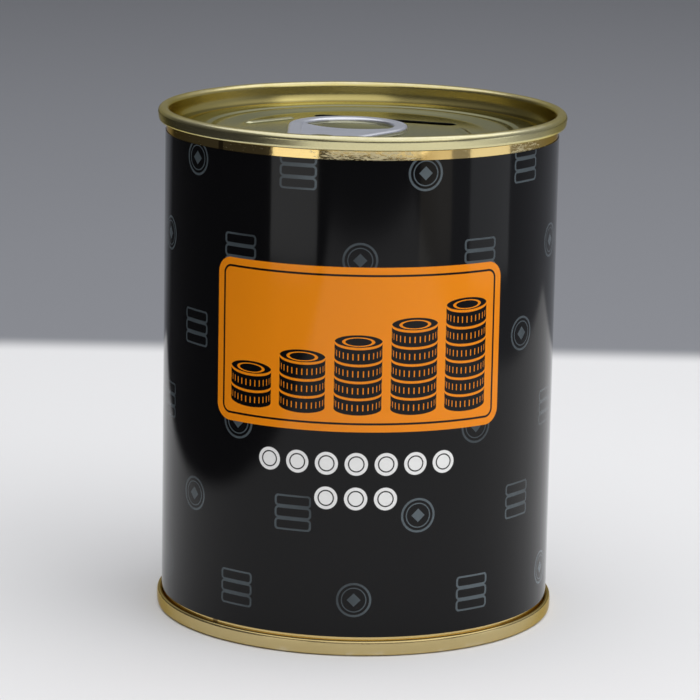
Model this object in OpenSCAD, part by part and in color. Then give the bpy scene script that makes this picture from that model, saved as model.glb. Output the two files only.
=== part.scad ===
// Coin bank made as a tin can: a rolled body, a seamed bottom, and a tear-off lid with a coin slot.
// Millimetres, +Z up. The origin is the centre of the ring on which the can stands.

/* [Can] */
// Outside diameter of the rolled body
body_d = 73; // [66:0.5:84]
// Height over both seams
can_h = 95; // [70:1:130]
// Thickness of the body sheet
body_t = 0.25; // [0.2:0.01:0.32]
// Thickness of the sheet of both ends
end_t = 0.28; // [0.22:0.01:0.34]
// Direction of the welded side lap, counted from +X
weld_angle = 226; // [0:1:359]
// Width of the welded side lap
weld_w = 1.2; // [0.6:0.1:2]
// How far the welded lap stands in from the wall
weld_h = 0.1; // [0.05:0.01:0.2]
// Distance at which the welded lap is planed flush, short of the ends
weld_end = 1; // [0.5:0.1:3]

/* [Seams] */
// Height of the top seam
top_seam_h = 2.6; // [2.4:0.05:3.4]
// Height of the bottom seam
bottom_seam_h = 2.8; // [2.4:0.05:3.4]
// Play between the folded layers of the top seam
top_play = 0.25; // [0.15:0.01:0.35]
// Play between the folded layers of the bottom seam
bottom_play = 0.06; // [0.04:0.01:0.2]
// Room between a hook and the fold that it sits in
hook_room = 0.2; // [0.15:0.01:0.3]
// Slip fit of an end inside the body
seat_clear = 0.04; // [0.02:0.01:0.08]
// Width of the flat ring on which the can stands
foot_w = 0.4; // [0.2:0.05:0.6]
// Width of the flat on the crest of the top seam
crest_w = 0.2; // [0.1:0.05:0.6]

/* [Label] */
// Thickness of the label
label_t = 0.12; // [0.08:0.01:0.2]
// Glue line between label and body
label_glue = 0.04; // [0.02:0.01:0.08]
// Bare band of body under the top seam
bare_top = 1.75; // [0.5:0.05:4]
// Bare band of body above the bottom seam
bare_bottom = 0.55; // [0.3:0.05:3]
// Width of the glued overlap
label_lap = 8; // [4:0.5:14]
// Direction of the overlap, counted from +X
lap_angle = 62; // [0:1:359]

/* [Bottom] */
// Height of the countersink inside the bottom seam
bottom_sink = 4; // [3.2:0.1:5]
// Height of the bottom panel over the standing ring
bottom_panel_h = 2.4; // [2.1:0.1:2.8]
// Count of expansion rings in the bottom panel
bottom_rings = 3; // [1:1:4]
// Width of one expansion ring
bottom_ring_w = 4.2; // [3:0.1:5]
// Depth of one expansion ring
bottom_ring_d = 0.7; // [0.3:0.05:0.9]

/* [Lid] */
// How far the lid is turned on the can
lid_turn = 19; // [-180:1:180]
// Depth of the countersink under the crest of the seam
lid_sink = 5.2; // [4.8:0.1:6]
// Inner radius of the countersink, at the middle of the sheet
sink_r = 0.7; // [0.5:0.05:0.9]
// How far the chuck wall of the bottom leans in
wall_lean = 0.55; // [0.2:0.05:1]
// How far the chuck wall of the lid leans in above its shoulder
shoulder_lean = 0.12; // [0.05:0.01:0.3]
// Height of that shoulder over the edge of the panel
shoulder_h = 0.9; // [0.6:0.05:1.2]
// Slant of the wall below the shoulder
shoulder_slant = 22; // [10:1:28]
// Radius between a panel and its countersink, at the middle of the sheet
corner_r = 0.5; // [0.3:0.05:0.6]
// Depth of the panel edge under the crest
panel_depth = 3.5; // [3:0.1:3.8]
// Width of the lip that stays on the can outside the score
lip_w = 0.8; // [0.6:0.1:1.8]
// Width of the score line
score_w = 0.3; // [0.25:0.01:0.4]
// Width of the plain ring inside the score
edge_ring_w = 2.8; // [2:0.1:3.6]
// Width of the groove that stiffens the panel
groove_w = 2.4; // [1.6:0.1:3]
// Depth of the groove
groove_d = 0.5; // [0.2:0.05:0.8]
// Width of the step down to the middle of the panel
step_w = 0.9; // [0.6:0.1:1.5]
// Height of the step down to the middle of the panel
step_h = 0.5; // [0.2:0.05:0.8]

/* [Coin slot] */
// Length of the coin slot
slot_l = 28; // [22:0.5:32]
// Width of the coin slot
slot_w = 3.4; // [2.4:0.1:4]
// Distance of the slot from the axis of the can
slot_off = 13; // [12.5:0.5:17]
// How far the rim of the slot is drawn down
slot_rim = 0.1; // [0.05:0.05:1.2]

/* [Panel beads] */
// Length of each straight bead beside the ring
bead_l = 10; // [6:0.5:13]
// Radius of the bead
bead_r = 1.2; // [0.9:0.1:1.5]
// Height of the bead over the panel
bead_h = 0.35; // [0.2:0.05:0.5]
// Distance of the middle of the bead from the middle line of the tab
bead_off = 19.4; // [17:0.1:21]
// Distance of the middle of the bead towards the coin slot
bead_shift = 2.6; // [0:0.1:5]
// Slant of the bead from the middle line of the tab
bead_slant = 29; // [0:1:45]
// Radius of the finger well under the ring
well_r = 8; // [6:0.5:9]
// Depth of the finger well
well_d = 0.7; // [0.4:0.05:1]

/* [Pull tab] */
// Length of the tab from nose to ring end
tab_l = 33.8; // [30:0.2:35]
// Outside diameter of the ring end
tab_ring_d = 22; // [19:0.5:24]
// Outside diameter of the nose end
tab_nose_d = 10.8; // [9.8:0.2:13]
// Width of the curled rim
tab_rim_w = 2.6; // [1.8:0.1:2.8]
// Thickness over the curled rim
tab_t = 1.2; // [1:0.05:1.4]
// Thickness of the plate inside the rim
tab_plate_t = 0.3; // [0.2:0.02:0.4]
// Gap between the tab and the edge ring of the panel
tab_gap = 0.3; // [0.25:0.05:0.5]
// Depth of the plate under the top of the rim
plate_drop = 0.25; // [0.1:0.05:0.4]
// Length of the finger hole
finger_l = 12.2; // [10:0.2:13]
// Radius of the bow of the finger hole towards the nose
hole_bow_r = 10.5; // [9:0.5:14]
// Radius of the rolled edge beside the finger hole
roll_r = 0.45; // [0.3:0.05:0.5]
// Distance of the nose from the score
nose_back = 1.2; // [0.8:0.1:3]
// Distance of the rivet from the nose
rivet_back = 7.6; // [7.2:0.1:10]
// Diameter of the rivet shank
rivet_d = 3.2; // [2.6:0.1:3.4]
// Diameter of the staked rivet head
rivet_head_d = 5.4; // [4.6:0.1:5.8]
// Thickness of the rivet head
rivet_head_t = 0.4; // [0.35:0.05:0.6]
// How much wider the boss under the rivet is at its foot
boss_flare = 0.7; // [0.4:0.1:1]
// Width of the tongue under the rivet
tongue_w = 6.4; // [6:0.1:7]
// Cut all round the tongue
tongue_cut = 0.35; // [0.3:0.05:0.5]
// Depth of the tongue under the plate
tongue_drop = 0.45; // [0.3:0.05:0.5]

/* [Hidden] */
$fn = 96;
eps = 0.01;
// Steps in a half circle of a folded sheet
fold_steps = 10;
// Steps in a wave or a step of a panel
wave_steps = 10;
// Steps in the round edge of the rim of the tab
rim_steps = 8;

gold = [0.80, 0.72, 0.42];
pale_gold = [0.74, 0.70, 0.47];
black = [0.06, 0.06, 0.06];
silver = [0.82, 0.82, 0.86];
seal_grey = [0.45, 0.44, 0.42];

// Layers of a seam, from the inside out, at the middle of each sheet
body_r = body_d / 2;
wall_r = body_r - body_t / 2;
chuck_r = body_r - body_t - seat_clear - end_t / 2;
function cover_hook_r(play) = body_r + play + end_t / 2;
function body_hook_r(play) = body_r + 2 * play + end_t + body_t / 2;
function seam_wall_r(play) = body_r + 3 * play + end_t + body_t + end_t / 2;
// Middle of the body flange, above or below which the sheet turns over
function flange_r(play) = (body_hook_r(play) - wall_r) / 2;
function flange_mid(play) = (body_hook_r(play) + wall_r) / 2;
function flange_drop(play) = end_t + hook_room + body_t / 2 + flange_r(play);
// Fold at the free edge of the seam
function fold_r(play) = (seam_wall_r(play) - cover_hook_r(play)) / 2;
function fold_rise(play, h) = h - end_t / 2 - fold_r(play);
// End of the body hook and of the cover hook, below the crest
function body_hook_end(h) = h - end_t - hook_room;
function cover_hook_end(play) = flange_drop(play) - flange_r(play) + body_t / 2 + hook_room;

// Countersink of the lid: middle of its arc, and the shoulder in the wall outside it
panel_top = can_h - panel_depth;
sink_z = can_h - lid_sink + end_t / 2 + sink_r;
shoulder_r = chuck_r - shoulder_lean;
shoulder_z = panel_top + shoulder_h;
slant_h = shoulder_z - sink_z + sink_r * sin(shoulder_slant);
sink_c = shoulder_r - slant_h * tan(shoulder_slant) - sink_r * cos(shoulder_slant);

// Panel of the lid
sink_wall_r = sink_c - sink_r;
lip_edge_r = sink_wall_r - corner_r - lip_w;
panel_r = lip_edge_r - score_w;
groove_r1 = panel_r - edge_ring_w;
groove_r0 = groove_r1 - groove_w;
step_r0 = groove_r0 - step_w;
middle_top = panel_top - step_h;

// Tab: x runs along the middle line from the axis of the can away from the nose
tab_z0 = panel_top + tab_gap;
plate_z0 = tab_z0 + tab_t - plate_drop - tab_plate_t;
tongue_z0 = plate_z0 - tongue_drop;
nose_x = nose_back - panel_r;
nose_r = tab_nose_d / 2;
ring_r = tab_ring_d / 2;
nose_c = nose_x + nose_r;
ring_c = nose_x + tab_l - ring_r;
rivet_x = nose_x + rivet_back;
hole_x1 = nose_x + tab_l - tab_rim_w;
hole_x0 = hole_x1 - finger_l;
hole_bow_x = hole_x0 + hole_bow_r;
taper = asin((ring_r - nose_r) / (ring_c - nose_c));
side_l = (ring_c - nose_c) * cos(taper);

// Points of an arc from angle a0 to a1 about c
function arc(c, r, a0, a1, n = fold_steps) =
    [for (i = [0:n]) let (a = a0 + (a1 - a0) * i / n) [c[0] + r * cos(a), c[1] + r * sin(a)]];

// Outline of a sheet of thickness t that follows a path through its middle
function heading(path, i) =
    let (a = path[max(i - 1, 0)], b = path[min(i + 1, len(path) - 1)]) (b - a) / norm(b - a);
function beside(path, d) =
    [for (i = [0:len(path) - 1]) let (h = heading(path, i)) path[i] + d * [-h[1], h[0]]];
function backwards(list) = [for (i = [len(list) - 1:-1:0]) list[i]];
function sheet(path, t) = concat(beside(path, t / 2), backwards(beside(path, -t / 2)));

// Turns points of a bottom seam, measured up from the base, into points of a top seam
function from_top(path) = [for (p = path) [p[0], can_h - p[1]]];

// Path of the body flange and hook, from the free edge of the hook to the wall, up from the base
function flange_path(play, h) = concat(
    [[body_hook_r(play), body_hook_end(h)]],
    arc([flange_mid(play), flange_drop(play)], flange_r(play), 0, -180));

// Path of the end outside the chuck wall: crest with a flat, seaming wall, fold and cover hook
function curl_path(play, h, flat) =
    let (half = (seam_wall_r(play) - chuck_r) / 2, r = half - flat / 2, z = end_t / 2 + r)
    concat(
        arc([chuck_r + r, z], r, 180, 270),
        arc([seam_wall_r(play) - r, z], r, 270, 360),
        arc([seam_wall_r(play) - fold_r(play), fold_rise(play, h)], fold_r(play), 0, 180),
        [[cover_hook_r(play), cover_hook_end(play)]]);

// Sealing compound: a bent strip in the room between crest and flange, towards the seaming wall
seal_from = -40;
seal_to = -110;
function seal_path(play) =
    arc([flange_mid(play), flange_drop(play)],
        flange_r(play) + body_t / 2 + hook_room / 2, seal_from, seal_to);

// Ease from 0 to 1 between two radii
function ease(r, r0, r1) = (1 - cos(180 * max(0, min(1, (r - r0) / (r1 - r0))))) / 2;
function stations(r0, r1) = [for (i = [0:wave_steps]) r0 + (r1 - r0) * i / wave_steps];

module revolve(path, t) {
    rotate_extrude() polygon(sheet(path, t));
}

// Local frame of the lid: x along the middle line of the tab, away from the nose
module on_lid() {
    rotate([0, 0, 90 - lid_turn]) children();
}

module can_body() {
    color(gold) {
        revolve(concat(from_top(flange_path(top_play, top_seam_h)),
                       backwards(flange_path(bottom_play, bottom_seam_h))), body_t);
        weld_lap();
    }
}

// Lap of the rolled sheet, welded down the inside between the two ends
module weld_lap() {
    lap_turn = weld_w / body_r * 180 / PI;
    z0 = bottom_sink + weld_end;
    z1 = can_h - lid_sink - weld_end;
    rotate([0, 0, weld_angle - lap_turn / 2])
        rotate_extrude(angle = lap_turn)
            translate([body_r - body_t - weld_h, z0]) square([weld_h + body_t / 2, z1 - z0]);
}

module label_wrap() {
    r = body_r + label_glue;
    z0 = bottom_seam_h + bare_bottom;
    z1 = can_h - top_seam_h - bare_top;
    lap_turn = label_lap / body_r * 180 / PI;
    color(black) {
        rotate_extrude() translate([r, z0]) square([label_t, z1 - z0]);
        rotate([0, 0, lap_angle])
            rotate_extrude(angle = lap_turn)
                translate([r + label_t / 2, z0]) square([label_t / 2 + label_t, z1 - z0]);
    }
}

module bottom_end() {
    r = sink_r;
    wall = chuck_r - wall_lean;
    rings_r1 = wall - 2 * r - corner_r - bottom_ring_w / 2;
    rings_r0 = rings_r1 - bottom_rings * bottom_ring_w;
    zp = bottom_panel_h;
    waves = [for (x = [rings_r0 : bottom_ring_w / wave_steps : rings_r1 + eps])
        [x, zp - bottom_ring_d * (1 - cos(360 * (x - rings_r0) / bottom_ring_w)) / 2]];
    color(gold)
        revolve(concat(
            [[0, zp]],
            waves,
            arc([wall - 2 * r - corner_r, zp + corner_r], corner_r, 270, 360),
            arc([wall - r, bottom_sink - r - end_t / 2], r, 180, 0),
            curl_path(bottom_play, bottom_seam_h, foot_w)), end_t);
}

module bottom_seal() {
    color(seal_grey) revolve(seal_path(bottom_play), hook_room / 2);
}

module lid_rim() {
    z = panel_top - end_t / 2;
    color(gold)
        revolve(concat(
            [[lip_edge_r, z]],
            arc([sink_wall_r - corner_r, z - corner_r], corner_r, 90, 0),
            arc([sink_c, sink_z], sink_r, 180, 360 - shoulder_slant),
            [[shoulder_r, shoulder_z]],
            from_top(curl_path(top_play, top_seam_h, crest_w))), end_t);
}

module lid_seal() {
    color(seal_grey) revolve(from_top(seal_path(top_play)), hook_room / 2);
}

// Height of the panel sheet at radius r: step up from the middle, then the groove
function panel_z(r) = middle_top - end_t / 2 + step_h * ease(r, step_r0, groove_r0)
    - groove_d * (ease(r, groove_r0, groove_r0 + groove_w / 2)
                  - ease(r, groove_r1 - groove_w / 2, groove_r1));

module tear_panel() {
    radii = concat([0], stations(step_r0, groove_r0 - eps), stations(groove_r0, groove_r1), [panel_r]);
    color(pale_gold)
        difference() {
            union() {
                revolve([for (r = radii) [r, panel_z(r)]], end_t);
                on_lid() {
                    well_shell();
                    slot_collar();
                    for (side = [-1, 1]) bead(side, bead_r);
                    rivet_outside();
                }
            }
            on_lid() {
                well_sphere(0);
                slot_cut();
                for (side = [-1, 1]) bead(side, bead_r - end_t);
                rivet_inside();
            }
        }
}

// Dished finger well under the end of the ring
well_x = nose_x + tab_l - tab_rim_w / 2;
well_ball_r = (well_r * well_r + well_d * well_d) / (2 * well_d);
module well_sphere(grow) {
    translate([well_x, 0, middle_top - well_d + well_ball_r]) sphere(r = well_ball_r + grow, $fn = 180);
}
module well_shell() {
    intersection() {
        well_sphere(end_t);
        translate([well_x, 0, middle_top - well_d - 2 * end_t])
            cylinder(r = well_r, h = well_d + 2 * end_t - eps);
    }
}

// Coin slot: a punched hole with its rim drawn down
module slot_outline(grow) {
    half = (slot_l - slot_w) / 2;
    square([slot_w + 2 * grow, 2 * half], center = true);
    for (side = [-1, 1]) translate([0, side * half]) circle(d = slot_w + 2 * grow);
}
module slot_collar() {
    translate([slot_off, 0, middle_top - end_t - slot_rim])
        linear_extrude(slot_rim + end_t / 2) slot_outline(end_t);
}
module slot_cut() {
    translate([slot_off, 0, middle_top - end_t - slot_rim - eps])
        linear_extrude(slot_rim + 2 * end_t) slot_outline(0);
}

// Straight raised bead beside the ring, hollow from below
module bead(side, r) {
    translate([bead_shift, side * bead_off, middle_top - bead_r + bead_h])
        rotate([0, 0, -side * bead_slant])
            intersection() {
                union() {
                    rotate([0, 90, 0]) cylinder(r = r, h = bead_l, center = true);
                    for (end = [-1, 1]) translate([end * bead_l / 2, 0, 0]) sphere(r = r);
                }
                translate([-bead_l, -2 * bead_r, bead_r - bead_h - end_t - eps])
                    cube([2 * bead_l, 4 * bead_r, 2 * bead_r]);
            }
}

// Hollow rivet formed from the panel: boss, shank and staked head
boss_top = tongue_z0 - seat_clear;
head_z = tongue_z0 + tab_plate_t + seat_clear;
boss_r = rivet_head_d / 2 + boss_flare;
module rivet_outside() {
    edge = rivet_head_t / 2;
    translate([rivet_x, 0, 0])
        rotate_extrude()
            polygon(concat(
                [[0, middle_top - end_t / 2], [boss_r, middle_top - end_t / 2],
                 [rivet_head_d / 2, boss_top], [rivet_d / 2, boss_top], [rivet_d / 2, head_z]],
                arc([rivet_head_d / 2 - edge, head_z + edge], edge, -90, 90),
                [[0, head_z + rivet_head_t]]));
}
module rivet_inside() {
    translate([rivet_x, 0, 0])
        rotate_extrude()
            polygon([[0, middle_top - 2 * end_t], [boss_r - end_t, middle_top - 2 * end_t],
                     [rivet_head_d / 2 - end_t, boss_top - end_t], [rivet_d / 2 - end_t, boss_top - end_t],
                     [rivet_d / 2 - end_t, head_z], [0, head_z + rivet_head_t - end_t]]);
}

// Strip round the rivet out of which the tongue is cut: open at the nose and round behind the rivet
module tongue_strip(grow) {
    translate([nose_x, -tongue_w / 2 - grow]) square([rivet_back, tongue_w + 2 * grow]);
    translate([rivet_x, 0]) circle(d = tongue_w + 2 * grow);
}

// Outline of the tongue, kept clear of the rim towards the web at the nose
module tongue_outline() {
    intersection() {
        tongue_strip(0);
        tab_outline(tab_rim_w + tongue_cut);
    }
}

module tab_tongue() {
    color(silver)
        on_lid()
            translate([0, 0, tongue_z0])
                linear_extrude(tab_plate_t)
                    difference() {
                        tongue_outline();
                        translate([rivet_x, 0]) circle(d = rivet_d + 2 * seat_clear);
                    }
}

// Egg outline of the tab, drawn in by d: two circles and their tangents
module tab_outline(d) {
    translate([nose_c, 0]) circle(r = nose_r - d);
    translate([ring_c, 0]) circle(r = ring_r - d);
    corners = [[nose_c, nose_r, 1], [ring_c, ring_r, 1], [ring_c, ring_r, -1], [nose_c, nose_r, -1]];
    polygon([for (q = corners) [q[0] - (q[1] - d) * sin(taper), q[2] * (q[1] - d) * cos(taper)]]);
}

// Section of the curled rim, flat with round edges, measured inwards from the outline
module rim_section() {
    edge = tab_t / 2;
    polygon(concat(
        arc([tab_rim_w - edge, edge], edge, -90, 90, rim_steps),
        arc([edge, edge], edge, 90, 270, rim_steps)));
}

// Rim round one end of the tab, over the given angles
module rim_arc(x, r, a0, a1) {
    translate([x, 0, 0])
        rotate([0, 0, a0])
            rotate_extrude(angle = a1 - a0)
                translate([r, 0]) mirror([1, 0]) rim_section();
}

// Straight rim along one side of the tab
module rim_side(side) {
    start = [nose_c - nose_r * sin(taper), side * nose_r * cos(taper), 0];
    translate(start)
        rotate([0, 0, side * taper])
            rotate([90, 0, 90])
                linear_extrude(side_l)
                    mirror([side > 0 ? 1 : 0, 0]) rim_section();
}

// Plate inside the rim, bowed at the finger hole and cut out round the tongue
module tab_plate() {
    linear_extrude(tab_plate_t)
        difference() {
            tab_outline(tab_rim_w / 2);
            translate([hole_bow_x, 0]) circle(r = hole_bow_r);
            tongue_strip(tongue_cut);
        }
}

// Rolled edge of the plate along the bow of the finger hole, from rim to rim
module rolled_edge() {
    bow = hole_bow_r + roll_r;
    rim = ring_r - tab_rim_w / 2;
    apart = hole_bow_x - ring_c;
    reach = acos((apart * apart + bow * bow - rim * rim) / (2 * apart * bow));
    translate([hole_bow_x, 0, plate_z0 + tab_plate_t - roll_r])
        rotate([0, 0, 180 - reach])
            rotate_extrude(angle = 2 * reach)
                translate([bow, 0]) circle(r = roll_r, $fn = 32);
}

module pull_tab() {
    color(silver)
        on_lid() {
            translate([0, 0, tab_z0]) {
                rim_arc(ring_c, ring_r, -90 - taper, 90 + taper);
                rim_arc(nose_c, nose_r, 90 + taper, 270 - taper);
                for (side = [-1, 1]) rim_side(side);
            }
            translate([0, 0, plate_z0]) tab_plate();
            rolled_edge();
        }
}

can_body();
label_wrap();
bottom_end();
bottom_seal();
lid_rim();
lid_seal();
tear_panel();
tab_tongue();
pull_tab();
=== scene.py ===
import math

import bmesh
import bpy
from mathutils import Matrix, Vector
from mathutils.geometry import delaunay_2d_cdt


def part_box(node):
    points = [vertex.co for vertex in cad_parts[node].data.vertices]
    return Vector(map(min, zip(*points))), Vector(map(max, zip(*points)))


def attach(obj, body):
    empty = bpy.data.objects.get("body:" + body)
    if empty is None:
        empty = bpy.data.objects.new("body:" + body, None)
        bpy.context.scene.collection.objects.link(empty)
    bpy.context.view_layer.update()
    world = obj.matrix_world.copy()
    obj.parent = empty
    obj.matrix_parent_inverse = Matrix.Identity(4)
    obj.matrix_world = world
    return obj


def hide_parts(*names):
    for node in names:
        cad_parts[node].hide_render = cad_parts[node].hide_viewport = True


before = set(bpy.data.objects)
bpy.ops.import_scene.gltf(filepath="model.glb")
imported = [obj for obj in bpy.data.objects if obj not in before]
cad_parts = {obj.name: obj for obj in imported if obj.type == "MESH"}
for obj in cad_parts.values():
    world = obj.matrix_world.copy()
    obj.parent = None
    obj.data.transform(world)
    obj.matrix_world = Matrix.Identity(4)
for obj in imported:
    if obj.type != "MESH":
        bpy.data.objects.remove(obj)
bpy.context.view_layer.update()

# Can body: one tinplate sheet, gold lacquered, rolled into a tube and welded down its side.
# Both edges are flanged outwards and folded into the seams, so only a bare band shows at each end.
MM = 0.001
FOLD_STEPS = 12
WALL_POINTS = 24
SHARP = math.radians(40)
can_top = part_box("lid_rim")[1].z
body_t = 0.25 * MM
end_t = 0.28 * MM
hook_room = 0.2 * MM
top_seam_h = 2.6 * MM
bottom_seam_h = 2.8 * MM
top_play = 0.25 * MM
bottom_play = 0.06 * MM
body_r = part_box("lid_rim")[1].x - 3 * top_play - 2 * end_t - body_t
body_dent = 0.06 * MM
dent_scale = 60.0
dent_seed = 3.0
weld_angle = math.radians(226)
weld_w = 1.2 * MM
weld_h = 0.1 * MM
weld_low, weld_high = 5 * MM, 88.8 * MM
weld_brown = (0.10, 0.06, 0.03)
weld_share = 0.8
body_light, body_deep = (0.78, 0.60, 0.27), (0.66, 0.47, 0.17)
scuff_gold = (0.92, 0.82, 0.52)
scuff_share = 0.85
scuff_rough = 0.46
scuff_level = 0.66
scuff_patches = [(math.radians(271), math.radians(17), 0.165), (math.radians(324), math.radians(9), 0.125)]
flake_scale = 1500.0
flake_stretch = (0.5, 0.5, 2.4)


def arc(centre, radius, start, end, steps=FOLD_STEPS):
    turns = [math.radians(start + (end - start) * i / steps) for i in range(steps + 1)]
    return [(centre[0] + radius * math.cos(a), centre[1] + radius * math.sin(a)) for a in turns]


def sheet_outline(path, thickness):
    """Closed outline of a sheet whose middle follows the path."""
    left, right = [], []
    for i, point in enumerate(path):
        heading = Vector(path[min(i + 1, len(path) - 1)]) - Vector(path[max(i - 1, 0)])
        heading.normalize()
        side = Vector((-heading.y, heading.x)) * thickness / 2
        left.append(Vector(point) + side)
        right.append(Vector(point) - side)
    return left + right[::-1]


def from_top(path):
    return [(r, can_top - z) for r, z in path]


def flange_path(play, seam_h):
    """Hook and flange of the body, from the free edge to the wall, measured up from the base."""
    hook_r = body_r + 2 * play + end_t + body_t / 2
    wall_r = body_r - body_t / 2
    radius = (hook_r - wall_r) / 2
    drop = end_t + hook_room + body_t / 2 + radius
    return [(hook_r, seam_h - end_t - hook_room)] + arc(((hook_r + wall_r) / 2, drop), radius, 0, -180)


def fill(node, inputs):
    """Links the inputs of a node to sockets, or sets them to values."""
    for key, value in inputs.items():
        if isinstance(value, bpy.types.NodeSocket):
            node.id_data.links.new(value, node.inputs[key])
        else:
            node.inputs[key].default_value = value


def put(kind, inputs, **options):
    """Adds a node to the tree that its inputs come from, with its options and its inputs."""
    tree = next(value.id_data for value in inputs.values() if isinstance(value, bpy.types.NodeSocket))
    made = tree.nodes.new(kind)
    for option, value in options.items():
        setattr(made, option, value)
    fill(made, inputs)
    return made


def calc(operation, *values):
    return put("ShaderNodeMath", dict(enumerate(values)), operation=operation).outputs[0]


def minus(first, second):
    return calc("SUBTRACT", first, second)


def times(first, second):
    return calc("MULTIPLY", first, second)


def size_of(value):
    return calc("ABSOLUTE", value)


def new_tree(name, inputs):
    """Empty geometry tree with named inputs, and its input sockets by name."""
    tree = bpy.data.node_groups.new(name, "GeometryNodeTree")
    for label, kind in inputs.items():
        tree.interface.new_socket(label, in_out="INPUT", socket_type="NodeSocket" + kind)
    tree.interface.new_socket("Mesh", in_out="OUTPUT", socket_type="NodeSocketGeometry")
    return tree, tree.nodes.new("NodeGroupInput").outputs


def end_tree(geometry, material):
    smooth = put("GeometryNodeSetShadeSmooth", {"Geometry": geometry})
    real = put("GeometryNodeRealizeInstances", {"Geometry": smooth.outputs[0]})
    named = put("GeometryNodeSetMaterial", {"Geometry": real.outputs[0], "Material": material})
    put("NodeGroupOutput", {"Mesh": named.outputs[0]})


def vector_calc(operation, vector, other):
    """Result of a vector operation. The other value is a number when a vector is scaled."""
    key = "Scale" if operation == "SCALE" else 1
    return put("ShaderNodeVectorMath", {0: vector, key: other}, operation=operation).outputs[0]


def turned_sheet_tree():
    """Turns a row of profile points about the z axis, with the slow dents of thin sheet."""
    tree, given = new_tree("turned_sheet", {"Profile": "Geometry", "Segments": "Int", "Dent": "Float",
                                            "Dent Scale": "Float", "Seed": "Float", "Material": "Material"})
    size = put("GeometryNodeAttributeDomainSize", {"Geometry": given["Profile"]})
    columns = calc("ADD", given["Segments"], 1)
    grid = put("GeometryNodeMeshGrid", {"Vertices X": size.outputs["Point Count"], "Vertices Y": columns})
    index = tree.nodes.new("GeometryNodeInputIndex").outputs[0]
    row = calc("FLOOR", calc("DIVIDE", index, columns))
    column = minus(index, times(row, columns))
    angle = times(calc("DIVIDE", column, given["Segments"]), 2 * math.pi)
    position = tree.nodes.new("GeometryNodeInputPosition").outputs[0]
    sample = put("GeometryNodeSampleIndex",
                 {"Geometry": given["Profile"], "Value": position, "Index": row}, data_type="FLOAT_VECTOR")
    turn = put("ShaderNodeVectorRotate", {"Vector": sample.outputs[0], "Angle": angle},
               rotation_type="Z_AXIS")
    wander = put("ShaderNodeTexNoise",
                 {"Vector": turn.outputs[0], "W": given["Seed"], "Scale": given["Dent Scale"], "Detail": 1.0},
                 noise_dimensions="4D")
    centred = vector_calc("SUBTRACT", wander.outputs["Color"], (0.5, 0.5, 0.5))
    dent = vector_calc("SCALE", centred, given["Dent"])
    place = vector_calc("ADD", turn.outputs[0], dent)
    shaped = put("GeometryNodeSetPosition", {"Geometry": grid.outputs["Mesh"], "Position": place})
    closed = put("GeometryNodeMergeByDistance", {"Geometry": shaped.outputs[0], "Distance": 0.001 * MM})
    end_tree(closed.outputs[0], given["Material"])
    return tree


def settled(piece):
    """Turns modifiers into a plain closed mesh that faces outwards, smooth but for its sharp edges."""
    view = bpy.context.evaluated_depsgraph_get()
    mesh = bpy.data.meshes.new_from_object(piece.evaluated_get(view), depsgraph=view)
    piece.modifiers.clear()
    piece.data = mesh
    mesh.name = piece.name
    solid = bmesh.new()
    solid.from_mesh(mesh)
    bmesh.ops.recalc_face_normals(solid, faces=solid.faces)
    solid.to_mesh(mesh)
    solid.free()
    mesh.polygons.foreach_set("use_smooth", [True] * len(mesh.polygons))
    mesh.set_sharp_from_angle(angle=SHARP)
    return piece


def new_piece(name, points, edges=(), faces=(), material=None):
    mesh = bpy.data.meshes.new(name)
    mesh.from_pydata(points, edges, faces)
    if material:
        mesh.materials.append(material)
    piece = bpy.data.objects.new(name, mesh)
    bpy.context.scene.collection.objects.link(piece)
    return piece


def grown(piece, tree, **sizes):
    """Runs a geometry tree on a piece, with its inputs set by identifier, and keeps the plain mesh."""
    growth = piece.modifiers.new(tree.name, "NODES")
    growth.node_group = tree
    for item in tree.interface.items_tree:
        label = item.name.lower().replace(" ", "_")
        if label in sizes:
            growth[item.identifier] = sizes[label]
    return settled(piece)


def joined(piece, *others):
    """Adds the meshes of other pieces to a piece as shells of their own."""
    whole = bmesh.new()
    whole.from_mesh(piece.data)
    for other in others:
        whole.from_mesh(other.data)
        bpy.data.objects.remove(other)
    whole.to_mesh(piece.data)
    whole.free()
    return piece


turned_sheet = turned_sheet_tree()


def turned(name, outline, material, segments=256, dent=0.0):
    rows = [(r, 0, z) for r, z in outline + outline[:1]]
    return grown(new_piece(name, rows), turned_sheet, segments=segments, dent=dent, dent_scale=dent_scale,
                 seed=dent_seed, material=material)


def colour_mix(factor, base, top):
    """Colour that turns from base to top by the factor."""
    base, top = ((*side, 1) if isinstance(side, tuple) else side for side in (base, top))
    return put("ShaderNodeMix", {0: factor, 6: base, 7: top}, data_type="RGBA").outputs[2]


def ramp(value, start, end, low=0.0, high=1.0, **options):
    """Value mapped from the range start to end onto low to high, and held at both ends."""
    return put("ShaderNodeMapRange", {"Value": value, "From Min": start, "From Max": end,
                                      "To Min": low, "To Max": high}, **options).outputs["Result"]


def noise_at(coords, scale, detail, roughness=0.5):
    return put("ShaderNodeTexNoise", {"Vector": coords, "Scale": scale, "Detail": detail,
                                      "Roughness": roughness}).outputs["Fac"]


def moved(coords, **mapping):
    """Coordinates that are turned or stretched."""
    return put("ShaderNodeMapping", {"Vector": coords, **mapping}).outputs[0]


def axes(coords):
    return put("ShaderNodeSeparateXYZ", {"Vector": coords}).outputs


def new_finish(name):
    """Plain finish, with its shader and object coordinates."""
    material = bpy.data.materials.new(name)
    material.use_nodes = True
    tree = material.node_tree
    coords = tree.nodes.new("ShaderNodeTexCoord").outputs["Object"]
    return material, tree.nodes["Principled BSDF"], coords


def relief(height, distance, strength, **over):
    """Normal that is bent by a fine height, over another Normal where one is given."""
    return put("ShaderNodeBump", {"Height": height, "Distance": distance, "Strength": strength,
                                  **over}).outputs["Normal"]


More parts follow.
